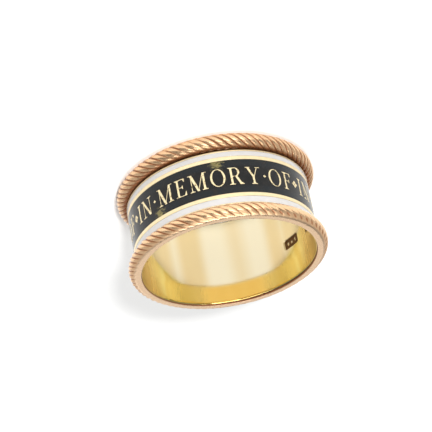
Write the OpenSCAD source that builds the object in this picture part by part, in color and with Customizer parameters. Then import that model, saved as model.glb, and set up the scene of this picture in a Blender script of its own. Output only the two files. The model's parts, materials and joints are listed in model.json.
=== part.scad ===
// Mourning ring: a plain gold sleeve with enamelled channels between two corded rims.
// The ring lies on one end face: +Z is the finger axis, and the origin is the centre
// of the end face that it rests on. All sizes are in millimetres.

/* [Finger hole] */
// Inside diameter, where the finger goes
bore_d = 18; // [14:0.5:22]
// Rounding of the hole's edge at both end faces
edge_round = 0.15; // [0.05:0.05:0.15]

/* [Band] */
// Width of the ring from end face to end face
band_w = 9.7; // [7:0.1:12]
// Gold left under the enamel
floor_t = 0.34; // [0.3:0.02:0.6]
// Thickness of the sleeve under the corded rims
sleeve_t = 0.15; // [0.15:0.01:0.25]
// Width of the gold line between the black and the white enamel
inner_line_w = 0.43; // [0.2:0.01:0.6]
// Width of the gold line between the white enamel and the rim
outer_line_w = 0.24; // [0.1:0.01:0.4]

/* [Enamel] */
// Width of each white stripe
white_w = 0.68; // [0.4:0.02:0.8]
// Depth of the enamelled channels below the gold lines
channel_depth = 0.22; // [0.15:0.01:0.3]
// How far the enamel lies below the gold lines
enamel_sink = 0.01; // [0:0.01:0.05]

/* [Corded rims] */
// Diameter of the twisted cord
cord_d = 1.55; // [1.2:0.05:1.7]
// Height of the cord's centre line above the gold lines
cord_rise = 0.11; // [0.1:0.01:0.3]
// Width of the smooth land between the cord and the gold line beside it
land_w = 0.02; // [0.02:0.01:0.1]
// Strands met on one way round the rim
strand_count = 72; // [48:6:84]
// Strands that are twisted together
strand_starts = 6; // [3:1:8]
// Depth of the grooves between the strands
groove_depth = 0.11; // [0.05:0.01:0.14]

/* [Fit] */
// Gap between pieces that lie against each other
gap = 0.02; // [0.01:0.01:0.03]

/* [Hidden] */
$fn = 180;
bore_r = bore_d / 2;
floor_r = bore_r + floor_t;
surface_r = floor_r + channel_depth;
enamel_r = surface_r - enamel_sink;
sleeve_r = bore_r + sleeve_t;
cord_r = cord_d / 2;
cord_centre_r = surface_r + cord_rise;
rim_w = cord_d + land_w;

// Flats that round the edge of the finger hole
edge_steps = 6;

// Heights of the steps across the ring, from the end face up to its middle
outer_line_z = rim_w + gap;
white_z = rim_w + outer_line_w;
inner_line_z = white_z + white_w;
black_z = inner_line_z + inner_line_w;
black_w = band_w - 2 * black_z;

// Facets of the cord: four columns to a strand, from one crest to the next
strand_sink = [0, 0.3, 1, 0.3];
strand_columns = len(strand_sink);
columns = strand_count * strand_columns;

// The cord's section runs from the end face round the outside to the land.
// Angles are measured from the outward direction, upwards.
arc_from = -90;
arc_to = 80;
arc_steps = 9;
arc_angles = [for (k = [0 : arc_steps]) arc_from + (arc_to - arc_from) * k / arc_steps];
// The grooves are rubbed away over this angle next to the end face
worn_angle = 30;

// How far the strands lean round the ring at an angle of the cord's section
function lean(angle) = -angle * strand_starts / strand_count;

// Depth of the surface below the cord's full radius, at a column and a section angle
function sink(column, angle) =
    groove_depth * strand_sink[column % strand_columns] * min(1, (angle - arc_from) / worn_angle);

// A point of the ring from its azimuth, radius and height
function ring_point(azimuth, radius, height) = [radius * cos(azimuth), radius * sin(azimuth), height];

// The closed section of the rim at one column, in order round the section
function rim_section(column) = let (
    azimuth = column * 360 / columns,
    inner_r = sleeve_r + gap
) concat(
    [ring_point(azimuth, inner_r, 0)],
    [for (a = arc_angles) let (rho = cord_r - sink(column, a))
        ring_point(azimuth + lean(a), cord_centre_r + rho * cos(a), cord_r + rho * sin(a))],
    [ring_point(azimuth + lean(90), cord_centre_r, rim_w)],
    [ring_point(azimuth, inner_r, rim_w)]
);

// Half of the gold sleeve's section, from the hole's rounded edge to the ring's middle
lower_outline = concat(
    [for (k = [0 : edge_steps]) let (a = 180 + 90 * k / edge_steps)
        [bore_r + edge_round * (1 + cos(a)), edge_round * (1 + sin(a))]],
    [
        [sleeve_r, 0],
        [sleeve_r, outer_line_z],
        [surface_r, outer_line_z],
        [surface_r, white_z],
        [floor_r, white_z],
        [floor_r, inner_line_z],
        [surface_r, inner_line_z],
        [surface_r, black_z],
        [floor_r, black_z]
    ]
);
upper_outline = [for (k = [len(lower_outline) - 1 : -1 : 0])
    [lower_outline[k][0], band_w - lower_outline[k][1]]];

// The gold sleeve, with four gold lines standing between the channels and the rims
module band() {
    color([0.90, 0.74, 0.36]) rotate_extrude() polygon(concat(lower_outline, upper_outline));
}

// One corded rim lying on its end face, with its flat back towards the sleeve
module corded_rim() {
    size = len(rim_section(0));
    points = [for (i = [0 : columns - 1]) each rim_section(i)];
    faces = [
        for (i = [0 : columns - 1], j = [0 : size - 1])
        let (
            near = i * size,
            far = ((i + 1) % columns) * size,
            k = (j + 1) % size
        ) each [[near + j, near + k, far + k], [near + j, far + k, far + j]]
    ];
    color([0.86, 0.62, 0.46]) polyhedron(points, faces);
}

module lower_rim() {
    corded_rim();
}

// Turned over rather than mirrored, so that both cords are twisted the same way
module upper_rim() {
    translate([0, 0, band_w]) rotate([180, 0, 0]) corded_rim();
}

// An enamel stripe that fills a channel from one height up to another
module enamel_stripe(from_z, width) {
    inner_r = floor_r + gap;
    rotate_extrude()
        translate([inner_r, from_z + gap]) square([enamel_r - inner_r, width - 2 * gap]);
}

module black_enamel() {
    color([0.10, 0.10, 0.11]) enamel_stripe(black_z, black_w);
}

module lower_white_enamel() {
    color([0.93, 0.91, 0.88]) enamel_stripe(white_z, white_w);
}

module upper_white_enamel() {
    color([0.93, 0.91, 0.88]) enamel_stripe(band_w - inner_line_z, white_w);
}

band();
lower_rim();
upper_rim();
black_enamel();
lower_white_enamel();
upper_white_enamel();
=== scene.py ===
"""Makes the looks of a mourning ring: gold sleeve, enamelled stripes, corded rims and gold words.

The ring lies on one end face with its finger hole upright. Outlines are written in millimetres
from the finger axis and from the face that the ring rests on.
"""

import json
import math
from functools import partial

import bmesh
import bpy
import numpy as np
from mathutils import Matrix, Quaternion, Vector
from mathutils.geometry import delaunay_2d_cdt


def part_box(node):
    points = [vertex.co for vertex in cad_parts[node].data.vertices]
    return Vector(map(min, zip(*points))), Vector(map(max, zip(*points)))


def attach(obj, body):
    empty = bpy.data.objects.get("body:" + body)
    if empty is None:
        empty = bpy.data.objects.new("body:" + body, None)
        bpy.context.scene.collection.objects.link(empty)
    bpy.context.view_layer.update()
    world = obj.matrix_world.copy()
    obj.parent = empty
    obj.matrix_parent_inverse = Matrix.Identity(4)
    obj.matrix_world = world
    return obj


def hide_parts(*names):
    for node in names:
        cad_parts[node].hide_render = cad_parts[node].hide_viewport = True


bl_info = {
    "name": "Mourning Ring",
    "version": (1, 0, 0),
    "blender": (4, 5, 0),
    "location": "3D View > Sidebar > Ring",
    "description": "Builds an enamelled gold mourning ring piece by piece",
    "category": "Add Mesh",
}

MM = 0.001
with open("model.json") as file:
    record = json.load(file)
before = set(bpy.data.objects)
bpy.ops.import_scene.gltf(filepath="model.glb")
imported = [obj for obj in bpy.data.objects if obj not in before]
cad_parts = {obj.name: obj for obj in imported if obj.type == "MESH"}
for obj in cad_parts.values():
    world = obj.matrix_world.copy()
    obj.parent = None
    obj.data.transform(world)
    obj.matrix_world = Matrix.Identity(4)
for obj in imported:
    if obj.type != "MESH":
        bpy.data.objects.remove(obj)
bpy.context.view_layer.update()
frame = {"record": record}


# Sizes read from the frame, in mm

def node_heights(node):
    """Lowest and highest point of a node."""
    low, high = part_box(node)
    return low.z / MM, high.z / MM


def node_radius(node):
    """Outer radius of a round node."""
    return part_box(node)[1].x / MM


MOUNTS = {mount["name"]: mount for mount in frame["record"]["mounts"]}
BORE_R = MOUNTS["finger_bore"]["dims"]["r_mm"]
RING_W = node_heights("upper_rim")[1]
RIM_W = node_heights("lower_rim")[1]
SURFACE_R = node_radius("band")
ENAMEL_R = node_radius("black_enamel")
# Depth of the channels, thickness of the sleeve under the rims, and space between two pieces
CHANNEL_DEPTH = 0.22
SLEEVE_T = 0.15
GAP = 0.02
# Faces round a turned piece
TURNS = 360
# How far the lower white stripe is worn back, the groove that the gold lines leave along the rims,
# and how far the sleeve's upper end lies below the rim's face
WORN_EDGE = 0.13
LOWER_BEVEL = 0.2
UPPER_BEVEL = 0.12
RECESS = 0.24
SLEEVE_TOP = RING_W - RECESS


def srgb(code):
    """Linear colour with alpha from an sRGB hex value."""
    channels = [int(code[k:k + 2], 16) / 255 for k in (0, 2, 4)]
    return tuple(c / 12.92 if c <= 0.04045 else ((c + 0.055) / 1.055) ** 2.4 for c in channels) + (1.0,)


# Settings that a user would change

def length(name, description, mm, high=30.0):
    """A size property whose default is given in mm."""
    return bpy.props.FloatProperty(
        name=name, description=description, default=mm * MM, min=0.0, max=high * MM,
        precision=5, subtype="DISTANCE", unit="LENGTH")


def angle_of(name, description, degrees):
    """An angle property whose default is given in degrees."""
    return bpy.props.FloatProperty(
        name=name, description=description, default=math.radians(degrees),
        subtype="ANGLE", unit="ROTATION")


def share_of(name, description, share):
    """A setting from 0 to 1."""
    return bpy.props.FloatProperty(
        name=name, description=description, default=share, min=0.0, max=1.0, subtype="FACTOR")


def number(name, description, count, low, high):
    """A whole number within limits."""
    return bpy.props.IntProperty(name=name, description=description, default=count, min=low, max=high)


def colour(name, description, code):
    """A colour property whose default is given as sRGB hex."""
    return bpy.props.FloatVectorProperty(
        name=name, description=description, default=srgb(code), min=0.0, max=1.0,
        size=4, subtype="COLOR")


class SleeveSettings(bpy.types.PropertyGroup):
    """Sizes and colours of the gold sleeve."""

    waist: length("Waist", "How much narrower the hole's worn radius is than its nominal one", 0.035)
    flare: length("Flare", "How much wider the hole's radius is at its upper end than in the middle", 0.105)
    splay: length("Splay", "Length of the wider stretch at the upper end of the hole", 2.05)
    taper: length("Taper", "How much narrower the hole's radius is at its lower end", 0.12)
    ripple: length("Ripple", "Unevenness of the hole's wall round the ring", 0.010)
    edge: length("Edge rounding", "Rounding of the gold lines' edges", 0.03)
    turns: number("Turns", "Faces round the sleeve", TURNS, 60, 720)
    gold: colour("Gold", "Yellow gold where it is polished", "FFF7DE")
    pale_gold: colour("Pale gold", "Yellow gold of the lines between the stripes, rubbed matt", "EDDDB8")
    # Painted shade: the deeper tone of the hole's bands of reflection and of its sides
    deep_gold: colour("Deep gold", "Yellow gold where it is rubbed less", "F3DEAE")
    # Painted reflection: the saturated amber of gold mirrored in gold at the hole's splayed end
    rich_gold: colour("Rich gold", "Yellow gold of the hole's burnished end", "FBD782")
    # Painted highlight: the brighter amber towards the hole's two sides
    sunny_gold: colour("Sunny gold", "The same towards the two sides", "FFF0A4")


class CordSettings(bpy.types.PropertyGroup):
    """Sizes and colours of the corded rims."""

    cord: length("Cord", "Diameter of the twisted cord", 1.55)
    rise: length("Rise", "Height of the cord's centre line above the gold lines", 0.11)
    groove: length("Groove", "Depth of the grooves between the strands", 0.12)
    wear: share_of("Wear", "Share of a groove's depth that is rubbed away where wear is worst", 0.4)
    dent: length("Dents", "Height of the unevenness that wear leaves", 0.02)
    dent_size: length("Dent size", "Width of that unevenness", 0.5)
    lower_worn: angle_of("Lower rim worn at", "Direction in which the lower rim is worn most", -81.0)
    upper_worn: angle_of("Upper rim worn at", "The same on the upper rim, before it is turned over", 84.0)
    smooth_at: angle_of("Upper rim smooth at", "Direction in which the upper rim is rubbed smooth", 155.0)
    smoothness: share_of("Smoothness", "Share of a groove's depth that is rubbed away there", 0.8)
    strands: number("Strands", "Strands met on one way round the rim", 72, 24, 120)
    starts: number("Starts", "Strands twisted together", 6, 2, 9)
    gold: colour("Gold", "Rose gold where it is polished", "E7C096")
    # Painted reflection: the end faces are painted paler than the cord for the light that they mirror
    pale: colour("Pale gold", "Rose gold of the end faces, rubbed flat", "E5C39F")
    # Dirt and painted shade: the brown of the grooves and of the cord beside the gold lines
    tarnish_and_shade: colour("Tarnish", "Dirt and tarnish in the grooves", "9A6038")


class EnamelSettings(bpy.types.PropertyGroup):
    """Colours of the enamel."""

    black: colour("Black", "Black enamel", "040506")
    blue: colour("Blue black", "Black enamel beside the gold lines", "10181D")
    scuffed: colour("Scuffed black", "Black enamel where wear has made it dull", "1D1B18")
    # Also the colour of a painted reflection of the gold rim at one spot
    thin_and_reflected: colour("Thin black", "Gold seen through enamel that is rubbed thin", "8E8350")
    white: colour("White", "White enamel", "E3E1DF")
    edge: length("Edge rounding", "Rounding of the enamel's edges", 0.025)


class WordSettings(bpy.types.PropertyGroup):
    """Sizes of the gold words on the black stripe."""

    height: length("Height", "Height of the capitals", 1.97)
    relief: length("Relief", "How far the letters stand out of the enamel", 0.015)
    gold: colour("Gold", "Yellow gold of the letters", "E9D8AE")
    worn: colour("Worn gold", "The letters where they are worn or darkened", "6E5A38")
    repeats: number("Repeats", "Times that the words go round the ring", 3, 1, 6)
    start: angle_of("Start", "Angle of the first letter from the front", -60.0)


class StageSettings(bpy.types.PropertyGroup):
    """The floor, the lights and the camera."""

    floor: colour("Floor", "Pale floor", "F3F3F2")
    lens: bpy.props.FloatProperty(
        name="Lens", description="Focal length in mm", default=196.9, min=20.0, max=400.0)
    distance: length("Distance", "From the camera to the point that it looks at", 245.7, high=2000.0)
    azimuth: angle_of("Azimuth", "Direction that the camera looks in, from +Y towards +X", 0.12)
    elevation: angle_of("Elevation", "Angle of the camera above the floor", 28.45)
    roll: angle_of("Roll", "Turn of the camera about its own view", 169.0)


# Helpers for meshes

def make_object(name, vertices, faces):
    """An object at the origin from points in mm."""
    mesh = bpy.data.meshes.new(name)
    mesh.from_pydata((np.asarray(vertices) * MM).tolist(), [], faces)
    piece = bpy.data.objects.new(name, mesh)
    bpy.context.scene.collection.objects.link(piece)
    return piece


def face_outwards(mesh):
    """Recalculates the normals of a closed mesh."""
    shape = bmesh.new()
    shape.from_mesh(mesh)
    bmesh.ops.recalc_face_normals(shape, faces=shape.faces)
    shape.to_mesh(mesh)
    shape.free()


def plain_copy(piece, name):
    """The piece with its modifiers applied, as a plain mesh in an object of its own."""
    graph = bpy.context.evaluated_depsgraph_get()
    mesh = bpy.data.meshes.new_from_object(piece.evaluated_get(graph), depsgraph=graph)
    mesh.name = name
    plain = bpy.data.objects.new(name, mesh)
    bpy.context.scene.collection.objects.link(plain)
    return plain


def finish_piece(piece, nodes=(), sharp=40.0):
    """Smooths a piece, says what it rides on, and hides the parts that it stands for."""
    piece.data.shade_smooth()
    piece.data.set_sharp_from_angle(angle=math.radians(sharp))
    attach(piece, "root")
    if nodes:
        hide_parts(*nodes)


def lathe(name, outline, turns, uneven=None, lift=None):
    """A ring turned round the finger axis from a closed outline of (radius, height)."""
    radius, height = np.array(outline).T
    angle = np.arange(turns)[:, None] * 2 * math.pi / turns
    radius = radius + 0 * angle
    height = height + 0 * angle
    if uneven:
        radius = radius + uneven(angle, radius)
    if lift:
        height = height + lift(angle, height)
    points = np.stack([radius * np.cos(angle), radius * np.sin(angle), height], -1)
    n = len(outline)
    faces = [
        (i * n + j, (i + 1) % turns * n + j, (i + 1) % turns * n + (j + 1) % n, i * n + (j + 1) % n)
        for i in range(turns) for j in range(n)
    ]
    piece = make_object(name, points.reshape(-1, 3), faces)
    face_outwards(piece.data)
    return piece


def rounded(corners, radius, steps=3):
    """A closed outline with its corners rounded, and a point beside each arc that keeps the flats flat."""
    out = []
    for k, corner in enumerate(corners):
        here = np.array(corner)
        sides = []
        for other in (corners[k - 1], corners[(k + 1) % len(corners)]):
            step = np.array(other) - here
            sides.append(step / np.linalg.norm(step) * min(radius, np.linalg.norm(step) / 4))
        before, after = sides
        out.append(here + 1.8 * before)
        for j in range(steps + 1):
            t = j / steps
            out.append(here + (1 - t) ** 2 * before + t ** 2 * after)
        out.append(here + 1.8 * after)
    return out


# Helpers for materials and node trees

# What makes a Map Range ease in and out, and a Mix take two colours, whose result is output 2
SMOOTH = {"interpolation_type": "SMOOTHSTEP"}
COLOURS = {"data_type": "RGBA", "out": 2}


def add_node(tree, kind, inputs=(), out=0, **settings):
    """Adds a node, sets its properties, sets or links its inputs, and gives one of its outputs or all.

    A kind without Node in it is a shader node. Inputs are listed in order, or go by name or number.
    A Map Range takes its value, where it runs from, as 1 and 2, and where it runs to, as 3 and 4.
    A Mix of colours takes its share of the second as 0, and the two colours as 6 and 7.
    """
    node = tree.nodes.new(kind if "Node" in kind else "ShaderNode" + kind)
    for name, value in settings.items():
        setattr(node, name, value)
    for key, value in inputs.items() if isinstance(inputs, dict) else enumerate(inputs):
        if isinstance(value, bpy.types.NodeSocket):
            tree.links.new(value, node.inputs[key])
        else:
            node.inputs[key].default_value = value
    return node.outputs if out is None else node.outputs[out]


def new_material(name):
    """An empty node material, what adds a node to it, and its object coordinates."""
    material = bpy.data.materials.new(name)
    material.use_nodes = True
    material.node_tree.nodes.clear()
    add = partial(add_node, material.node_tree)
    return material, add, add("TexCoord", out="Object")


def finish_material(add, inputs):
    """Ends a material in a Principled surface."""
    add("OutputMaterial", {"Surface": add("BsdfPrincipled", inputs)}, None)


def per_mm(size):
    """Noise scale, in object coordinates of metres, whose grain is about size mm."""
    return 1 / (size * MM)


def off_middle(add, place):
    """How far the surface lies from the plane through the ring's middle."""
    height = add("SeparateXYZ", [place], "Z")
    above = add("Math", [height, RING_W / 2 * MM], operation="SUBTRACT")
    return add("Math", [above], operation="ABSOLUTE")


def grained(name, tones, grain, gloss, patches=None, relief=None, **constants):
    """A material whose two tones, roughness and relief follow one grain.

    The grain is its size in mm, its detail and its unevenness. Patches are the levels of the grain
    between which the second tone takes over. Relief is the bump's strength and its depth in mm.
    """
    material, add, place = new_material(name)
    size, detail, uneven = grain
    noise = add("TexNoise", {"Vector": place, "Scale": per_mm(size), "Detail": detail, "Roughness": uneven})
    share = add("MapRange", [noise, patches[0], patches[1]], **SMOOTH) if patches else noise
    inputs = {"Base Color": add("Mix", {0: share, 6: tones[0], 7: tones[1]}, **COLOURS)}
    varied = isinstance(gloss, tuple)
    inputs["Roughness"] = add("MapRange", {0: noise, 3: gloss[0], 4: gloss[1]}) if varied else gloss
    if relief:
        inputs["Normal"] = add("Bump", {"Strength": relief[0], "Distance": relief[1] * MM, "Height": noise})
    finish_material(add, {**inputs, **constants})
    return material


# The materials

# Soft bands of painted reflection round the finger hole: how many, the direction of a bright one in
# degrees, and how strong they are
REFLECTION_BANDS = ((12.0, 80.0, 0.13), (3.0, 100.0, 0.07))
# Distances to both sides of the finger axis, in mm, over which the hole is painted deeper as shade, its
# amber end gets a painted highlight, its sides dim and the painted amber reaches further along it, up to
# FURTHER mm
SIDEWAYS = {"dull": (5.2, 6.6), "bright": (2.0, 5.5), "dim": (7.0, 8.8), "further": (4.4, 11.0)}
FURTHER = 4.8
# From the front of the hole to its back, in mm, over which it turns less pale; the front's paleness is
# painted light
FRONT = (-3.0, 2.0)
# Where the painted amber sets in, in mm from the bend of the splayed end
PAINTED_AMBER_ONSET = (-0.25, 0.45)


def yellow_gold(settings):
    """Polished 18 carat yellow gold: a warm mirror, softened by fine rubbing, with painted bands of
    reflection, painted shade at its sides and a painted amber reflection at its splayed end.
    """
    material, add, place = new_material("polished_yellow_gold")
    axes = add("SeparateXYZ", [place], None)
    # Soft bands of painted reflection run along the hole: its gold is painted lighter and deeper in turn.
    angle = add("Math", [axes["Y"], axes["X"]], operation="ARCTAN2")
    level = add("VectorMath", [place, (1.0, 1.0, 0.04)], operation="MULTIPLY")
    drift = add("TexNoise", {
        "Vector": level, "W": 2.0, "Scale": per_mm(2.6), "Detail": 1.5}, noise_dimensions="4D")
    bands = add("Math", [drift, 0.4, 0.3], operation="MULTIPLY_ADD")
    for count, brightest, weight in REFLECTION_BANDS:
        turned = add("Math", [angle, count, -count * math.radians(brightest)], operation="MULTIPLY_ADD")
        wave = add("Math", [turned], operation="COSINE")
        bands = add("Math", [wave, -weight, bands], operation="MULTIPLY_ADD")
    painted_band_shade = add("MapRange", [bands, 0.32, 0.66], **SMOOTH)
    # Towards the hole's two sides the gold is painted deeper, as painted shade.
    sideways = add("Math", [axes["X"]], operation="ABSOLUTE")
    side = {
        name: add("MapRange", [sideways, start * MM, stop * MM], **SMOOTH)
        for name, (start, stop) in SIDEWAYS.items()
    }
    dull = add("Math", [painted_band_shade, side["dull"]], operation="MAXIMUM")
    # The front of the hole is seen in the far wall's mirror. It is painted paler, which brightens that
    # reflection.
    front = add("MapRange", [axes["Y"], FRONT[0] * MM, FRONT[1] * MM, 0.2, 1.0], **SMOOTH)
    dull = add("Math", [dull, front], operation="MULTIPLY")
    pale = add("Mix", {0: dull, 6: settings.gold, 7: settings.deep_gold}, **COLOURS)
    # The splayed end is painted a richer yellow, a painted reflection of gold mirrored in gold, and further
    # along at the two sides. Towards the sides it is painted brighter, a painted highlight.
    bend = SLEEVE_TOP * MM - settings.splay
    along = add("Math", [side["further"], FURTHER * MM, axes["Z"]], operation="MULTIPLY_ADD")
    painted_amber = add("MapRange", [along, bend + PAINTED_AMBER_ONSET[0] * MM, bend + PAINTED_AMBER_ONSET[1] * MM], **SMOOTH)
    bright = add("Math", [side["bright"], side["dim"]], operation="SUBTRACT", use_clamp=True)
    rich = add("Mix", {0: bright, 6: settings.rich_gold, 7: settings.sunny_gold}, **COLOURS)
    tone = add("Mix", {0: painted_amber, 6: pale, 7: rich}, **COLOURS)
    # The very sides are no longer a clear mirror.
    metal = add("MapRange", {0: side["dim"], 3: 1.0, 4: 0.55})
    clouds = add("TexNoise", {"Vector": place, "Scale": per_mm(4.0), "Detail": 3.0})
    haze = add("MapRange", {0: clouds, 3: 0.07, 4: 0.14})
    haze = add("Math", [side["dim"], 0.2, haze], operation="MULTIPLY_ADD")
    # Rubbing marks run round the ring. They are finer on real gold than the 0.15 mm drawn here.
    stretched = add("Mapping", {"Vector": place, "Scale": (0.25, 0.25, 1.0)})
    rubbing = add("TexNoise", {"Vector": stretched, "Scale": per_mm(0.15), "Detail": 4.0})
    bump = add("Bump", {"Strength": 0.25, "Distance": 0.01 * MM, "Height": rubbing})
    finish_material(add, {"Base Color": tone, "Metallic": metal, "Roughness": haze, "Normal": bump})
    return material


def rubbed_gold(settings):
    """Yellow gold stoned flush with the enamel: pale, with a soft sheen in place of a mirror."""
    return grained(
        "stoned_yellow_gold", tones=(settings.pale_gold, srgb("DCC799")), grain=(0.5, 5.0, 0.6),
        gloss=(0.2, 0.4), relief=(0.3, 0.02), Metallic=1.0)


def letter_gold(settings):
    """Thin yellow gold of the letters: pale, with specks where it is worn or the black has run over it."""
    return grained(
        "worn_letter_gold", tones=(settings.gold, settings.worn), grain=(0.22, 4.0, 0.65),
        patches=(0.52, 0.68), gloss=(0.2, 0.45), relief=(0.4, 0.015), Metallic=1.0)


def tarnished_gold():
    """Yellow gold that no cloth reaches: brown and dull. Beside the rims its darkness is also painted shade.
    """
    return grained(
        "tarnished_gold", tones=(srgb("35200F"), srgb("8C6130")), grain=(0.12, 4.0, 0.5), gloss=0.5,
        Metallic=0.6)


# How far below an end face, in mm, the flat of the face and the ridge beside it set in
END_FACE = (0.12, 0.02)
RIDGE = (0.45, 0.16)


def rose_gold(settings):
    """Rose gold cord: copper-rich, polished on the strands' backs, with dirt and painted shade between them.
    """
    material, add, place = new_material("polished_rose_gold")
    depth = add("Attribute", out="Fac", attribute_name="dirt")
    grain = add("TexNoise", {"Vector": place, "Scale": per_mm(0.25), "Detail": 5.0, "Roughness": 0.65})
    dirt = add("Math", [grain, 0.36, depth], operation="MULTIPLY_ADD")
    where = add("MapRange", [dirt, 0.27, 0.85], **SMOOTH)
    deepest_dirt_and_shade = add("MapRange", [dirt, 1.22, 1.4], **SMOOTH)
    # The end faces are rubbed flat by the table and by the next finger, and painted paler for the light that
    # they mirror. The ridges beside them are scuffed, which spreads their shine.
    outwards = off_middle(add, place)
    end_face, ridge = [
        add("MapRange", [outwards, (RING_W / 2 - start) * MM, (RING_W / 2 - stop) * MM], **SMOOTH)
        for start, stop in (END_FACE, RIDGE)]
    ridge = add("Math", [ridge, end_face], operation="SUBTRACT", use_clamp=True)
    clean = add("Mix", {0: end_face, 6: settings.gold, 7: settings.pale}, **COLOURS)
    # Painted shade with dirt: brown in the grooves, near black in the crevices
    dark = add("Mix", {0: deepest_dirt_and_shade, 6: settings.tarnish_and_shade, 7: srgb("24120A")}, **COLOURS)
    tone = add("Mix", {0: where, 6: clean, 7: dark}, **COLOURS)
    # Dirt is brown wax and dust, which doesn't mirror; the painted shade is given the same dull brown.
    metal = add("MapRange", {0: where, 3: 1.0, 4: 0.3})
    metal = add("Math", [metal, deepest_dirt_and_shade], operation="SUBTRACT", use_clamp=True)
    haze = add("MapRange", {0: grain, 3: 0.2, 4: 0.36})
    haze = add("Math", [ridge, 0.2, haze], operation="MULTIPLY_ADD")
    rough = add("MapRange", {0: end_face, 3: 0.3, 4: 0.08})
    bump = add("Bump", {"Strength": rough, "Distance": 0.02 * MM, "Height": grain})
    finish_material(add, {"Base Color": tone, "Metallic": metal, "Roughness": haze, "Normal": bump})
    return material


# How far from the ring's middle, in mm, the black enamel turns blue
BLUE = (0.95, 1.35)
# Where it is rubbed thin, and at 3 degrees a painted reflection of the gold rim: degrees round from the
# front, height and reach in mm
THIN_AND_REFLECTION_SPOTS = ((-38.0, 6.4, 1.5), (3.0, 3.2, 1.5), (118.0, 3.3, 1.6), (201.0, 6.3, 1.4))


def black_enamel(settings):
    """Fired black enamel: glass that is glossy, slightly wavy, and scuffed by wear."""
    material, add, place = new_material("fired_black_enamel")
    scuffs = add("TexNoise", {"Vector": place, "Scale": per_mm(0.7), "Detail": 6.0, "Roughness": 0.65})
    scuffed = add("MapRange", [scuffs, 0.4, 0.72], **SMOOTH)
    haze = add("MapRange", {0: scuffs, 3: 0.08, 4: 0.3})
    # Beside the gold lines the glass is thinner and a little blue.
    beside = add("MapRange", [off_middle(add, place), BLUE[0] * MM, BLUE[1] * MM], **SMOOTH)
    deep = add("Mix", {0: beside, 6: settings.black, 7: settings.blue}, **COLOURS)
    tone = add("Mix", {0: scuffed, 6: deep, 7: settings.scuffed}, **COLOURS)
    # At a few spots of its edges it is rubbed thin, and the gold under it shows through. The spot at 3
    # degrees is a painted reflection of the gold rim instead.
    thin_and_reflected = 0.0
    for degrees, height, reach in THIN_AND_REFLECTION_SPOTS:
        angle = math.radians(degrees)
        spot = Vector((-ENAMEL_R * math.sin(angle), -ENAMEL_R * math.cos(angle), height)) * MM
        away = add("VectorMath", [place, spot], "Value", operation="DISTANCE")
        near = add("MapRange", [away, reach * MM, 0.1 * MM], **SMOOTH)
        thin_and_reflected = add("Math", [near, thin_and_reflected], operation="MAXIMUM")
    level = add("VectorMath", [place, (1.0, 1.0, 2.5)], operation="MULTIPLY")
    chips = add("TexNoise", {"Vector": level, "Scale": per_mm(0.5), "Detail": 4.0, "Roughness": 0.75})
    patchy = add("Math", [thin_and_reflected, 0.35, chips], operation="MULTIPLY_ADD")
    showing = add("MapRange", [patchy, 0.68, 0.92], **SMOOTH)
    tone = add("Mix", {0: showing, 6: tone, 7: settings.thin_and_reflected}, **COLOURS)
    waves = add("TexNoise", {"Vector": place, "Scale": per_mm(0.9), "Detail": 2.0})
    bump = add("Bump", {"Strength": 0.4, "Distance": 0.02 * MM, "Height": waves})
    finish_material(add, {
        "Base Color": tone, "Roughness": haze, "IOR": 1.4, "Specular IOR Level": 0.38, "Normal": bump})
    return material


def white_enamel(settings):
    """Fired white enamel: milky glass with a soft gloss and faint grey clouds."""
    return grained(
        "fired_white_enamel", tones=(settings.white, srgb("D1CFCD")), grain=(0.8, 4.0, 0.5), gloss=0.2,
        relief=(0.3, 0.02), IOR=1.52)


def floor_card(settings):
    """Matt pale card: no gloss, and hardly any pattern."""
    return grained(
        "matt_pale_card", tones=(settings.floor, srgb("F0F0EF")), grain=(3.0, 3.0, 0.5), gloss=0.9)


# The gold sleeve

# Rounding of the sleeve's two end faces, in mm
UPPER_ROUND = 0.1
LOWER_ROUND = 0.06
# Waves of the hole's wall: how many round the ring, where they start, in radians, and their weight
WAVES = ((5, 0.6, 1.0), (9, 2.0, 0.7), (14, 4.0, 0.5))
# How much higher the hole's upper lip is on one side, in mm, and on which, in degrees
LIP_RISE = 0.15
LIP_SIDE = 10.0
# Depth of the two punch marks, the roundness of their corners, from 0 for square to 1 for an oval,
# and half the size and the height of the worn beads in them. Sizes are in mm.
MARK_DEPTH = 0.08
CORNER = 0.22
BEAD_SIZE = (0.2, 0.24)
BEAD_HEIGHT = 0.055
# Each mark's place, in degrees round the ring and mm along it, half its size, and the places of
# its beads, in mm from its middle
MARKS = (
    (139.6, 5.5, (1.15, 0.56), ((-0.62, 0.0), (0.0, 0.05), (0.62, -0.02))),
    (160.8, 5.85, (0.28, 0.42), ()),
)
# Places of the sleeve's materials in its list, after the polished gold: the tarnished gold beside the
# stripes, where it also paints shade, and in the marks, and the rubbed gold of the lines and of the beads'
# tops
TARNISH_AND_SHADE = 1
RUBBED = 2
# How deep a face may lie below a worn surface and still be part of it, in mm
SKIN = 0.04


def stripe_heights(node):
    """Lowest and highest point of an enamel stripe. The lower white one is worn back from the rim."""
    low, high = node_heights(node)
    return (low + WORN_EDGE if node == "lower_white_enamel" else low), high


def channels():
    """Heights between which each enamel channel lies."""
    names = ("lower_white_enamel", "black_enamel", "upper_white_enamel")
    return [(low - GAP, high + GAP) for low, high in (stripe_heights(name) for name in names)]


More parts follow.
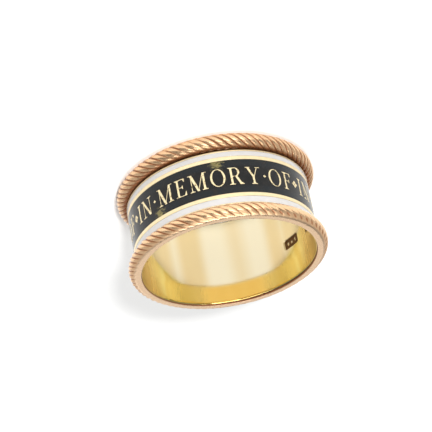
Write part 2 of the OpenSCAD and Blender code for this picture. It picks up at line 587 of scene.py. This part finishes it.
def sleeve_outline(settings):
    """Closed section of the sleeve: gold lines outside, the finger hole inside."""
    back_r = BORE_R + SLEEVE_T
    floor_r = SURFACE_R - CHANNEL_DEPTH
    splay = settings.splay / MM
    flare = settings.flare / MM
    waist_r = BORE_R - settings.waist / MM
    line_low = RIM_W + GAP
    line_high = RING_W - line_low
    corners = [(back_r, line_low), (SURFACE_R - LOWER_BEVEL, line_low), (SURFACE_R, line_low + LOWER_BEVEL)]
    for low, high in channels():
        corners += [(SURFACE_R, low), (floor_r, low), (floor_r, high), (SURFACE_R, high)]
    corners += [
        (SURFACE_R, line_high - UPPER_BEVEL), (SURFACE_R - UPPER_BEVEL, line_high), (back_r, line_high)]
    # The two ends only steer the rounding of their neighbours, and are left out again.
    outside = rounded(corners + [(back_r, SLEEVE_TOP), (back_r, 0.0)], settings.edge / MM)
    outside = outside[:len(outside) * len(corners) // (len(corners) + 2)]
    # The wall is straight, with a crisp bend where its upper end is splayed. Its lower end is drawn in.
    bend = 0.07
    depths = np.concatenate([
        np.linspace(0.2, splay - 0.3, 6), np.linspace(splay - 0.25, splay + 0.25, 9),
        np.linspace(splay + 0.4, SLEEVE_TOP - 0.12, 14)])
    opening = flare / splay * bend * np.logaddexp(0, (splay - depths) / bend)
    closing = settings.taper / MM * np.clip((depths - RING_W / 2) / (RING_W / 2), 0, 1) ** 2
    wall = [(waist_r + o - c, SLEEVE_TOP - d) for o, c, d in zip(opening, closing, depths)]
    turn = np.linspace(0, math.pi / 2, 5)
    upper_lip = [
        (back_r - (back_r - waist_r - flare) * math.sin(a), SLEEVE_TOP - UPPER_ROUND * (1 - math.cos(a)))
        for a in turn]
    lower_lip = [
        (back_r - (back_r - wall[-1][0]) * math.sin(a), LOWER_ROUND * (1 - math.cos(a)))
        for a in reversed(turn)]
    return [tuple(p) for p in outside] + upper_lip + wall + lower_lip


def mark_cutter(middle, height, half_size, bead_places):
    """A closed solid that cuts a punch mark: a rounded oblong with beads on its floor."""
    def on_bore(along, across, depth):
        angle = math.radians(middle) + along / BORE_R
        radius = BORE_R + depth
        return np.stack([radius * np.cos(angle), radius * np.sin(angle), height + across], -1)

    count = 56
    t = np.arange(count) * 2 * math.pi / count
    # A superellipse gives the oblong its rounded corners.
    along = half_size[0] * np.sign(np.cos(t)) * np.abs(np.cos(t)) ** CORNER
    across = half_size[1] * np.sign(np.sin(t)) * np.abs(np.sin(t)) ** CORNER
    # Each ring of points is a scale and a depth. The solid stands a little out of the wall, into the hole.
    inmost = -0.12
    rings = [(k / 12, MARK_DEPTH) for k in range(1, 12)]
    rings += [(0.96, 0.7 * MARK_DEPTH), (1.0, 0.0), (1.04, inmost / 2), (0.5, inmost)]
    points = []
    for scale, depth in rings:
        x = along * scale
        y = across * scale
        beads = sum(
            np.exp(-(((x - a) / BEAD_SIZE[0]) ** 2 + ((y - b) / BEAD_SIZE[1]) ** 2) ** 2)
            for a, b in bead_places)
        points.append(on_bore(x, y, depth - BEAD_HEIGHT * beads * (depth == MARK_DEPTH)))
    nothing = np.zeros(1)
    points.append(on_bore(nothing, nothing, MARK_DEPTH - BEAD_HEIGHT * bool(bead_places)))
    points.append(on_bore(nothing, nothing, inmost))
    faces = []
    last = len(rings) * count
    for j in range(count):
        k = (j + 1) % count
        for i in range(0, last - count, count):
            faces.append((i + j, i + count + j, i + count + k, i + k))
        faces.append((last, j, k))
        faces.append((last + 1, last - count + k, last - count + j))
    cutter = make_object("mark_cutter", np.concatenate(points), faces)
    face_outwards(cutter.data)
    return cutter


class RING_OT_sleeve(bpy.types.Operator):
    """Turn the gold sleeve and cut its punch marks"""

    bl_idname = "ring.sleeve"
    bl_label = "Gold sleeve"

    def execute(self, context):
        settings = context.scene.ring_sleeve
        ripple = settings.ripple / MM
        widest = BORE_R + settings.flare / MM

        def uneven(angle, radius):
            waves = sum(weight * np.sin(count * angle + start) for count, start, weight in WAVES)
            return np.where(radius < widest, ripple * waves, 0.0)

        def lift(angle, height):
            side = np.maximum(0.0, np.cos(angle - math.radians(LIP_SIDE)))
            return LIP_RISE * side * np.clip(height - (SLEEVE_TOP - 1.0), 0, 1)

        blank = lathe("sleeve_blank", sleeve_outline(settings), settings.turns, uneven, lift)
        blank.data.materials.append(yellow_gold(settings))
        # The tarnished gold is real tarnish in the marks, and tarnish with painted shade beside the rims
        tarnish_and_shade = tarnished_gold()
        cutters = []
        for mark in MARKS:
            cutter = mark_cutter(*mark)
            cutter.data.materials.append(tarnish_and_shade)
            cutters.append(cutter)
            cut = blank.modifiers.new("mark", "BOOLEAN")
            cut.operation = "DIFFERENCE"
            cut.object = cutter
            cut.material_mode = "TRANSFER"
        sleeve = plain_copy(blank, "gold_sleeve")
        if len(sleeve.data.materials) != 2:
            raise RuntimeError("the punch marks were not cut")
        sleeve.data.materials.append(rubbed_gold(settings))
        for face in sleeve.data.polygons:
            radius = face.center.xy.length / MM
            bead_top = face.material_index == TARNISH_AND_SHADE and radius < BORE_R + SKIN
            if radius > SURFACE_R - SKIN or bead_top:
                face.material_index = RUBBED
            # Faces beyond the sleeve's back, as in the grooves beside the rims, take the tarnished gold, dark
            # also as painted shade
            elif radius > BORE_R + SLEEVE_T:
                face.material_index = TARNISH_AND_SHADE
        for used in (blank, *cutters):
            bpy.data.objects.remove(used)
        finish_piece(sleeve, ["band"])
        return {"FINISHED"}


# The corded rims

def groove_profile(across):
    """Share of the groove's depth across a strand, whose back is round: 0 at its crest, 1 in the groove."""
    roundness = 0.92
    towards_groove = 1 - np.abs(1 - 2 * across)
    return (1 - np.sqrt(1 - (roundness * towards_groove) ** 2)) / (1 - math.sqrt(1 - roundness ** 2))


# Where the round cord ends in the crevice beside the gold line, as an angle of its section
LAST_ANGLE = 118.0
# What each point of a rim has a share of: the grooves, the dirt and painted shade, the dents, and shelter
# from wear
SHARES = ("groove", "dirt", "dents", "sheltered")
# The share of dirt and painted shade where they lie thickest, in the crevices
DEEPEST_DIRT_AND_SHADE = 1.3


def strand_patch(settings):
    """One strand of a rim: its points, its faces, and the shares that belong to each point."""
    cord_r = settings.cord / MM / 2
    centre_r = SURFACE_R + settings.rise / MM
    back_r = BORE_R + SLEEVE_T + GAP
    lean = settings.starts / settings.strands
    half = np.array([0, 0.3, 0.55, 0.75, 0.88, 0.96, 1.0]) / 2
    across = np.concatenate([half, 1 - half[-2::-1]])
    flat = 0 * across
    # Each row is radius, height, lean in degrees, and the four shares. A share above 1 is thick dirt with
    # painted shade.
    rows = []
    # The end face rounds down into a crevice beside the sleeve's lip, painted dark with dirt and shade.
    edge = 0.06
    face_r = back_r + edge
    for t in np.linspace(0, 1, 6):
        turn = t * math.pi / 2
        rows.append((
            face_r - edge * math.cos(turn), (RECESS + 0.1) * (1 - math.sin(turn)), 0.0,
            0.0, DEEPEST_DIRT_AND_SHADE * (1.0 - t ** 2), 0.0, 0.0))
    for t in np.linspace(0, 1, 6)[1:-1]:
        rows.append((face_r + t * (centre_r - face_r), 0.0, 90 * lean * t, 0.0, 0.0, 0.3 * t, 0.0))
    # The grooves begin a little outside the end face, and dirt and painted shade thicken towards the gold
    # line.
    for angle in np.linspace(-90, LAST_ANGLE, 53):
        share = min(1.0, max(0.0, angle + 76) / 34) ** 0.8 * groove_profile(across)
        crevice_share = 0.8 * min(1.0, max(0.0, (angle - 52) / 40))
        rho = cord_r - settings.groove / MM * share
        turn = math.radians(angle)
        rows.append((
            centre_r + rho * math.cos(turn), cord_r + rho * math.sin(turn), -angle * lean,
            share, crevice_share, 1.0 - crevice_share, 0.7 * max(0.0, 1 - ((angle + 42) / 20) ** 2)))
    # The side towards the sleeve is closed flat, and painted dark with dirt and shade.
    end = math.radians(LAST_ANGLE)
    end_r = centre_r + (cord_r - 0.1) * math.cos(end)
    end_z = cord_r + (cord_r - 0.1) * math.sin(end)
    for t in (0.0, 0.5, 1.0):
        rows.append((end_r + t * (back_r - end_r), end_z, -LAST_ANGLE * lean * (1 - t), 0.0, 1.0, 0.0, 0.0))
    for t in (0.75, 0.5, 0.25):
        rows.append((back_r, end_z * t, 0.0, 0.0, DEEPEST_DIRT_AND_SHADE, 0.0, 0.0))
    points = []
    for radius, height, leaning, *_ in rows:
        azimuth = np.radians(across * 360 / settings.strands + leaning)
        points.append(np.stack([radius * np.cos(azimuth), radius * np.sin(azimuth), height + flat], -1))
    shares = {name: np.concatenate([row[k] + flat for row in rows]) for k, name in enumerate(SHARES, 3)}
    width = len(across)
    faces = []
    for j in range(len(rows)):
        near = j * width
        far = (j + 1) % len(rows) * width
        faces += [(near + i, near + i + 1, far + i + 1, far + i) for i in range(width - 1)]
    return np.concatenate(points), faces, shares


# The inputs of the rims' node tree, and what kind each is
RIM_INPUTS = {
    "Strands": "Int", "Groove": "Float", "Wear": "Float", "Dents": "Float", "Dent size": "Float",
    "Worn at": "Float", "Smooth at": "Float", "Smoothness": "Float", "Seed": "Float",
    "Material": "Material",
}
# Angles from the middle of the most worn and of the smooth stretch, in degrees, at which they set in
# and are full, and what the first adds to the patches of wear
WORN_STRETCH = (26.0, 8.0)
SMOOTH_STRETCH = (50.0, 20.0)
STRETCH_WEAR = 0.22


def rim_tree():
    """Geometry nodes that lay one strand round the ring, join the copies and wear them unevenly."""
    tree = bpy.data.node_groups.new("corded_rim", "GeometryNodeTree")
    tree.interface.new_socket("Geometry", in_out="INPUT", socket_type="NodeSocketGeometry")
    for name, kind in RIM_INPUTS.items():
        tree.interface.new_socket(name, in_out="INPUT", socket_type="NodeSocket" + kind)
    tree.interface.new_socket("Geometry", in_out="OUTPUT", socket_type="NodeSocketGeometry")
    add = partial(add_node, tree)
    given = add("NodeGroupInput", out=None)
    place = add("GeometryNodeInputPosition")
    share = {
        name: add("GeometryNodeInputNamedAttribute", {"Name": name}, "Attribute", data_type="FLOAT")
        for name in SHARES
    }

    # Copies of the strand, turned about the finger axis and joined
    line = add("GeometryNodeMeshLine", {"Count": given["Strands"], "Offset": (0, 0, 0)})
    step = add("Math", [2 * math.pi, given["Strands"]], operation="DIVIDE")
    turn = add("Math", [add("GeometryNodeInputIndex"), step], operation="MULTIPLY")
    rotation = add("FunctionNodeEulerToRotation", [add("CombineXYZ", {"Z": turn})])
    copies = add("GeometryNodeInstanceOnPoints", {
        "Points": line, "Instance": given["Geometry"], "Rotation": rotation})
    real = add("GeometryNodeRealizeInstances", [copies])
    joined = add("GeometryNodeMergeByDistance", {0: real, "Distance": 1e-6})

    # How far round the ring each place is from the most worn stretch, and from the smooth one
    axes = add("SeparateXYZ", [place], None)
    azimuth = add("Math", [axes["Y"], axes["X"]], operation="ARCTAN2")
    from_worn, from_smooth = [
        add("Math", [azimuth, given[name]], operation="SUBTRACT") for name in ("Worn at", "Smooth at")]
    from_worn = add("Math", [from_worn], operation="ABSOLUTE")
    from_smooth = add("Math", [from_smooth], operation="ABSOLUTE")

    # Dents all over, fine pits, and patches where the grooves are rubbed shallow
    dent_scale = add("Math", [1.0, given["Dent size"]], operation="DIVIDE")
    patch_seed = add("Math", [given["Seed"], 7.0], operation="ADD")
    dents, pits, patches = [
        add("TexNoise", {"Vector": place, "W": seed, "Scale": scale, "Detail": detail}, noise_dimensions="4D")
        for seed, scale, detail in (
            (given["Seed"], dent_scale, 2.0), (given["Seed"], per_mm(0.2), 2.0),
            (patch_seed, per_mm(1.8), 1.0))]
    stretch = add("MapRange", {
        0: from_worn, 1: math.radians(WORN_STRETCH[0]), 2: math.radians(WORN_STRETCH[1]),
        4: STRETCH_WEAR}, **SMOOTH)
    patches = add("Math", [patches, stretch], operation="ADD")
    rubbed = add("MapRange", [patches, 0.58, 0.8], **SMOOTH)

    # Where wear is worst the metal is also pitted.
    dents, pits = [
        add("Math", [noise, 2.0, -1.0], operation="MULTIPLY_ADD") for noise in (dents, pits)]
    pits = add("Math", [pits, rubbed], operation="MULTIPLY")
    dents = add("Math", [pits, 1.5, dents], operation="MULTIPLY_ADD")
    dents = add("Math", [dents, given["Dents"]], operation="MULTIPLY")
    dents = add("Math", [dents, share["dents"]], operation="MULTIPLY")

    # The smooth stretch is rubbed flat, but for the pits where the grooves meet the end face.
    smooth = add("MapRange", {
        0: from_smooth, 1: math.radians(SMOOTH_STRETCH[0]), 2: math.radians(SMOOTH_STRETCH[1]),
        4: given["Smoothness"]}, **SMOOTH)
    kept = add("Math", [smooth, share["sheltered"]], operation="MULTIPLY")
    smooth = add("Math", [smooth, kept], operation="SUBTRACT")
    worn = add("Math", [rubbed, given["Wear"]], operation="MULTIPLY")
    lost = add("Math", [worn, smooth], operation="MAXIMUM")
    filled = add("Math", [lost, given["Groove"]], operation="MULTIPLY")
    filled = add("Math", [filled, share["groove"]], operation="MULTIPLY")
    height = add("Math", [dents, filled], operation="ADD")
    move = add("VectorMath", {0: add("GeometryNodeInputNormal"), "Scale": height}, operation="SCALE")
    moved = add("GeometryNodeSetPosition", {"Geometry": joined, "Offset": move})

    # Dirt and painted shade stay in the crevices, and in the grooves where they aren't rubbed away.
    left = add("Math", [1.0, kept], operation="ADD")
    left = add("Math", [left, lost], operation="SUBTRACT")
    left = add("Math", [share["groove"], left], operation="MULTIPLY")
    dirt = add("Math", [share["dirt"], left], operation="MAXIMUM")
    with_dirt_and_shade = add("GeometryNodeStoreNamedAttribute", {
        "Geometry": moved, "Name": "dirt", "Value": dirt}, data_type="FLOAT", domain="POINT")
    painted = add("GeometryNodeSetMaterial", {"Geometry": with_dirt_and_shade, "Material": given["Material"]})
    add("NodeGroupOutput", [painted], None)
    return tree


class RING_OT_cords(bpy.types.Operator):
    """Lay the twisted cord of each rim and wear it unevenly"""

    bl_idname = "ring.cords"
    bl_label = "Corded rims"

    def execute(self, context):
        settings = context.scene.ring_cords
        points, faces, shares = strand_patch(settings)
        tree = rim_tree()
        sockets = {item.name: item.identifier for item in tree.interface.items_tree if item.in_out == "INPUT"}
        material = rose_gold(settings)
        # Turned over rather than mirrored, so that both cords are twisted the same way
        turned_over = Matrix.Translation((0, 0, RING_W * MM)) @ Matrix.Rotation(math.pi, 4, "X")
        for side, seed, worn_at, smoothness, move in (
            ("lower", 3.0, settings.lower_worn, 0.0, Matrix()),
            ("upper", 11.0, settings.upper_worn, settings.smoothness, turned_over),
        ):
            patch = make_object("strand", points, faces)
            face_outwards(patch.data)
            for name, share in shares.items():
                attribute = patch.data.attributes.new(name, "FLOAT", "POINT")
                attribute.data.foreach_set("value", share.astype(np.float32))
            modifier = patch.modifiers.new("corded_rim", "NODES")
            modifier.node_group = tree
            values = {
                "Strands": settings.strands, "Groove": settings.groove, "Wear": settings.wear,
                "Dents": settings.dent, "Dent size": settings.dent_size, "Worn at": worn_at,
                "Smooth at": settings.smooth_at, "Smoothness": smoothness, "Seed": seed,
                "Material": material,
            }
            for name, value in values.items():
                modifier[sockets[name]] = value
            rim = plain_copy(patch, f"{side}_corded_rim")
            bpy.data.objects.remove(patch)
            if len(rim.data.vertices) >= settings.strands * len(points):
                raise RuntimeError(f"the strands of the {side} rim were not joined")
            rim.data.transform(move)
            face_outwards(rim.data)
            finish_piece(rim, [f"{side}_rim"], sharp=50.0)
        return {"FINISHED"}


# The enamel

class RING_OT_enamel(bpy.types.Operator):
    """Fill the three channels with black and white enamel"""

    bl_idname = "ring.enamel"
    bl_label = "Enamel"

    def execute(self, context):
        settings = context.scene.ring_enamel
        black = black_enamel(settings)
        white = white_enamel(settings)
        inner_r = SURFACE_R - CHANNEL_DEPTH + GAP
        for node, material, slot in (
            ("black_enamel", black, "black_enamel"),
            ("lower_white_enamel", white, "white_enamel"),
            ("upper_white_enamel", white, "white_enamel"),
        ):
            # The enamel grips the gold, so it takes up most of the gap that the solids leave.
            low, high = stripe_heights(node)
            low -= 0.75 * GAP
            high += 0.75 * GAP
            corners = [(inner_r, low), (ENAMEL_R, low), (ENAMEL_R, high), (inner_r, high)]
            stripe = lathe(f"{node}_stripe", rounded(corners, settings.edge / MM), TURNS)
            stripe.data.materials.append(material)
            finish_piece(stripe, [node])
        return {"FINISHED"}


# The gold words. Letters are drawn in heights of a capital, from the base line up.

# Widths of a stem and of a hairline, and half the width of a serif
STEM = 0.105
HAIR = 0.035
SERIF = 0.15


def bar(left, right, low, high):
    """An upright oblong."""
    return [(left, low), (right, low), (right, high), (left, high)]


def slant(low_x, high_x, width, low=0.0, high=1.0):
    """A slanted stroke, cut level at both ends."""
    return [(low_x, low), (low_x + width, low), (high_x + width, high), (high_x, high)]


def serif(x, half, stem, base, up):
    """A thin foot or head with a hollow bracket up to its stem."""
    right = [(x + half, base), (x + half, base + HAIR * up)]
    for t in (0.25, 0.5, 0.75, 1.0):
        reach = stem / 2 + (half - stem / 2) * (1 - t) ** 2
        right.append((x + reach, base + (HAIR + 0.075 * t ** 2) * up))
    return right + [(2 * x - a, b) for a, b in reversed(right)]


def bowl(x, y, half_w, half_h, side, ends, start, stop, steps=12):
    """Part of an oval ring, thick at its sides and thin at its top and bottom."""
    outer = []
    inner = []
    for k in range(steps + 1):
        a = math.radians(start + (stop - start) * k / steps)
        outer.append((x + half_w * math.cos(a), y + half_h * math.sin(a)))
        inner.append((x + (half_w - side) * math.cos(a), y + (half_h - ends) * math.sin(a)))
    return outer + inner[::-1]


def lozenge(x, y, half):
    """A small square standing on its corner."""
    return [(x - half, y), (x, y - half), (x + half, y), (x, y + half)]


def upright(x):
    """A stem with a serif at each end, centred at x."""
    return [
        bar(x - STEM / 2, x + STEM / 2, 0, 1), serif(x, SERIF, STEM, 0, 1), serif(x, SERIF, STEM, 1, -1)]


def arm(left, right, y, up, tall=0.2):
    """A thin level arm with a pointed end."""
    return [
        bar(left, right, min(y, y + HAIR * up), max(y, y + HAIR * up)),
        [(right, y), (right, y + tall * up), (right - 0.025, y + tall * up),
         (right - 0.11, y + 0.9 * HAIR * up), (right - 0.11, y)],
    ]


def middle_arm(left, right, y):
    """The short arm of an E or F."""
    return [
        bar(left, right, y - HAIR / 2, y + HAIR / 2),
        [(right - 0.06, y), (right - 0.01, y - 0.1), (right + 0.015, y - 0.1), (right + 0.015, y + 0.1),
         (right - 0.01, y + 0.1)],
    ]


def glyphs():
    """Width and strokes of each letter and sign."""
    e_body = upright(0.15) + arm(0.15, 0.56, 1.0, -1) + middle_arm(0.15, 0.42, 0.52)
    petals = [lozenge(0.16 + 0.115 * math.cos(a), 0.5 + 0.115 * math.sin(a), 0.1)
              for a in np.radians((0, 90, 180, 270))]
    return {
        "I": (0.30, upright(0.15)),
        "N": (0.80, [
            bar(0.13, 0.13 + HAIR, 0, 0.96), serif(0.155, 0.14, HAIR, 0, 1),
            bar(0.64, 0.64 + HAIR, 0, 1), serif(0.665, 0.14, HAIR, 1, -1),
            slant(0.56, 0.05, 0.13), bar(0.0, 0.15, 0.965, 1.0)]),
        "M": (0.98, [
            bar(0.13, 0.13 + HAIR, 0, 0.96), serif(0.155, 0.13, HAIR, 0, 1),
            bar(0.765, 0.765 + STEM, 0, 1), serif(0.828, SERIF, STEM, 0, 1),
            slant(0.42, 0.08, 0.13), slant(0.44, 0.78, HAIR),
            bar(0.0, 0.2, 0.965, 1.0), bar(0.76, 0.98, 0.965, 1.0)]),
        "E": (0.60, e_body + arm(0.15, 0.60, 0.0, 1, 0.24)),
        "F": (0.56, e_body),
        "O": (0.78, [
            bowl(0.39, 0.5, 0.39, 0.515, STEM, HAIR, -90, 90),
            bowl(0.39, 0.5, 0.39, 0.515, STEM, HAIR, 90, 270)]),
        "R": (0.76, upright(0.15) + [
            bar(0.15, 0.36, 1 - HAIR, 1), bar(0.15, 0.38, 0.47, 0.47 + HAIR),
            bowl(0.34, 0.735, 0.25, 0.265, STEM, HAIR, -90, 90),
            slant(0.56, 0.33, 0.125, 0.0, 0.49), serif(0.64, 0.12, 0.10, 0, 1)]),
        "Y": (0.78, [
            bar(0.33, 0.33 + STEM, 0, 0.46), serif(0.3925, SERIF, STEM, 0, 1),
            slant(0.33, 0.05, 0.13, 0.42, 1.0), slant(0.405, 0.62, HAIR, 0.44, 1.0),
            bar(0.0, 0.25, 0.965, 1.0), bar(0.54, 0.78, 0.965, 1.0)]),
        "dot": (0.15, [lozenge(0.075, 0.5, 0.085)]),
        "flower": (0.32, petals),
    }


def joined_letter(strokes, cut=0.1):
    """Triangles of all strokes of a letter as one shape, cut into narrow upright slices."""
    points = []
    edges = []
    faces = []
    for stroke in strokes:
        turned = sum(a[0] * b[1] - b[0] * a[1] for a, b in zip(stroke, stroke[1:] + stroke[:1]))
        faces.append(list(range(len(points), len(points) + len(stroke))))
        points += [Vector(p) for p in (stroke if turned > 0 else stroke[::-1])]
    left = min(p.x for p in points)
    right = max(p.x for p in points)
    for k in range(1, math.ceil((right - left) / cut)):
        edges.append((len(points), len(points) + 1))
        points += [Vector((left + cut * k, -0.2)), Vector((left + cut * k, 1.2))]
    flat, _, triangles, _, _, owners = delaunay_2d_cdt(points, edges, faces, 0, 1e-5)
    return flat, [face for face, owner in zip(triangles, owners) if owner]


def add_plate(shape, flat, triangles, x, height, relief):
    """Wraps one letter round the stripe as a thin plate with upright sides."""
    layers = []
    for radius in (ENAMEL_R - GAP, ENAMEL_R + relief):
        layer = []
        for p in flat:
            angle = (x + p.x) * height / ENAMEL_R
            # The words stand on their heads: their tops point down to the floor.
            z = RING_W / 2 - (p.y - 0.5) * height
            layer.append(shape.verts.new(
                Vector((-radius * math.sin(angle), -radius * math.cos(angle), z)) * MM))
        layers.append(layer)
    under, top = layers
    sides = {edge for a, b, c in triangles for edge in ((a, b), (b, c), (c, a))}
    for a, b, c in triangles:
        shape.faces.new((top[a], top[b], top[c]))
        shape.faces.new((under[c], under[b], under[a]))
    for a, b in sorted(sides):
        if (b, a) not in sides:
            shape.faces.new((top[b], top[a], under[a], under[b]))
    for vertex in under + top:
        if not vertex.link_faces:
            shape.verts.remove(vertex)


class RING_OT_words(bpy.types.Operator):
    """Set the gold words round the black stripe"""

    bl_idname = "ring.words"
    bl_label = "Gold words"

    def execute(self, context):
        settings = context.scene.ring_words
        height = settings.height / MM
        letters = glyphs()
        phrase = [*"IN", "dot", *"MEMORY", "dot", *"OF", "flower"]
        room = 2 * math.pi * ENAMEL_R / settings.repeats / height
        space = (room - sum(letters[name][0] for name in phrase)) / len(phrase)
        shape = bmesh.new()
        x = settings.start * ENAMEL_R / height + space / 2
        for name in phrase * settings.repeats:
            width, strokes = letters[name]
            flat, triangles = joined_letter(strokes)
            add_plate(shape, flat, triangles, x, height, settings.relief / MM)
            x += width + space
        bmesh.ops.recalc_face_normals(shape, faces=shape.faces)
        words = make_object("memorial_words", [(0, 0, 0)], [])
        shape.to_mesh(words.data)
        shape.free()
        words.data.materials.append(letter_gold(settings))
        finish_piece(words)
        return {"FINISHED"}


# The stage

# What the camera looks at, in mm, and where all lamps point
LOOK_AT = (0.47, -0.40, 4.11)
AIM = (0.0, 0.0, 0.005)
# The lamps: name, place, size, watts and what they light. The floor has its own, so that it stays
# pale without burning out beside bright gold, and so have the rims, which need a wider glow.
LAMPS = (
    ("overhead", (0.0, 0.0, 0.40), (0.26, 0.26), 0.85, "ring"),
    ("front", (-0.10, -0.37, 0.16), (0.26, 0.18), 0.68, "ring"),
    ("back", (0.05, 0.45, 0.25), (0.35, 0.30), 0.25, "ring"),
    ("floor_overhead", (0.0, 0.0, 0.40), (0.20, 0.20), 1.16, "floor"),
    ("floor_front", (-0.065, -0.37, 0.172), (0.07, 0.04), 2.6, "floor"),
    ("between", (0.0, -0.30, 0.40), (0.60, 0.30), 0.2, "rims"),
    ("beside_left", (-0.38, 0.08, 0.22), (0.50, 0.40), 0.25, "rims"),
    ("behind_left", (-0.26, 0.40, 0.07), (0.50, 0.24), 0.2, "rims"),
    ("beside_right", (0.38, 0.08, 0.22), (0.50, 0.40), 0.25, "rims"),
    ("behind_right", (0.26, 0.40, 0.07), (0.50, 0.24), 0.2, "rims"),
)


def add_lamp(name, place, size, power, lit):
    """A soft oblong lamp that the camera doesn't see, and that lights some objects only."""
    light = bpy.data.lights.new(name, "AREA")
    light.shape = "RECTANGLE"
    light.size, light.size_y = size
    light.energy = power
    lamp = bpy.data.objects.new(name, light)
    lamp.location = place
    lamp.rotation_euler = (Vector(AIM) - Vector(place)).to_track_quat("-Z", "Y").to_euler()
    lamp.visible_camera = False
    bpy.context.scene.collection.objects.link(lamp)
    receivers = bpy.data.collections.new(f"lit_by_{name}")
    for piece in lit:
        receivers.objects.link(piece)
    lamp.light_linking.receiver_collection = receivers


class RING_OT_stage(bpy.types.Operator):
    """Lay the floor, hang the lamps and place the camera"""

    bl_idname = "ring.stage"
    bl_label = "Stage"

    def execute(self, context):
        scene = context.scene
        settings = scene.ring_stage
        ring = [piece for piece in scene.objects if piece.type == "MESH"]
        rims = [piece for piece in ring if piece.name.endswith("corded_rim")]
        half = 1500.0
        corners = [(-half, -half, 0), (half, -half, 0), (half, half, 0), (-half, half, 0)]
        floor = make_object("floor", corners, [(0, 1, 2, 3)])
        floor.data.materials.append(floor_card(settings))

        world = bpy.data.worlds.new("studio")
        world.use_nodes = True
        backdrop = world.node_tree.nodes["Background"].inputs
        backdrop["Color"].default_value = srgb("F2F2F2")
        backdrop["Strength"].default_value = 0.29
        scene.world = world
        scene.view_settings.view_transform = "Standard"
        lit = {"ring": ring, "rims": rims, "floor": [floor]}
        for name, place, size, power, what in LAMPS:
            add_lamp(name, place, size, power, lit[what])

        look = Vector((
            math.sin(settings.azimuth) * math.cos(settings.elevation),
            math.cos(settings.azimuth) * math.cos(settings.elevation),
            -math.sin(settings.elevation),
        ))
        camera = bpy.data.objects.new("camera", bpy.data.cameras.new("camera"))
        camera.data.lens = settings.lens
        camera.data.clip_start = 0.01
        camera.location = Vector(LOOK_AT) * MM - look * settings.distance
        camera.rotation_mode = "QUATERNION"
        camera.rotation_quaternion = Quaternion(look, -settings.roll) @ look.to_track_quat("-Z", "Y")
        scene.collection.objects.link(camera)
        scene.camera = camera
        return {"FINISHED"}


# The add-on

PARTS = (
    ("ring_sleeve", SleeveSettings, RING_OT_sleeve),
    ("ring_cords", CordSettings, RING_OT_cords),
    ("ring_enamel", EnamelSettings, RING_OT_enamel),
    ("ring_words", WordSettings, RING_OT_words),
    ("ring_stage", StageSettings, RING_OT_stage),
)


class RING_PT_panel(bpy.types.Panel):
    """Settings and buttons of every piece of the ring"""

    bl_label = "Mourning ring"
    bl_idname = "RING_PT_panel"
    bl_space_type = "VIEW_3D"
    bl_region_type = "UI"
    bl_category = "Ring"

    def draw(self, context):
        for name, group, operator in PARTS:
            box = self.layout.box()
            for setting in group.__annotations__:
                box.prop(getattr(context.scene, name), setting)
            box.operator(operator.bl_idname)


def register():
    """Registers the settings, the operators and the panel."""
    for name, group, operator in PARTS:
        bpy.utils.register_class(group)
        bpy.utils.register_class(operator)
        setattr(bpy.types.Scene, name, bpy.props.PointerProperty(type=group))
    bpy.utils.register_class(RING_PT_panel)


def unregister():
    """Takes them all back, in reverse."""
    bpy.utils.unregister_class(RING_PT_panel)
    for name, group, operator in reversed(PARTS):
        delattr(bpy.types.Scene, name)
        bpy.utils.unregister_class(operator)
        bpy.utils.unregister_class(group)


def main():
    """Builds the ring and its stage."""
    register()
    bpy.ops.ring.sleeve()
    bpy.ops.ring.cords()
    bpy.ops.ring.enamel()
    bpy.ops.ring.words()
    bpy.ops.ring.stage()


if __name__ == "__main__":
    main()
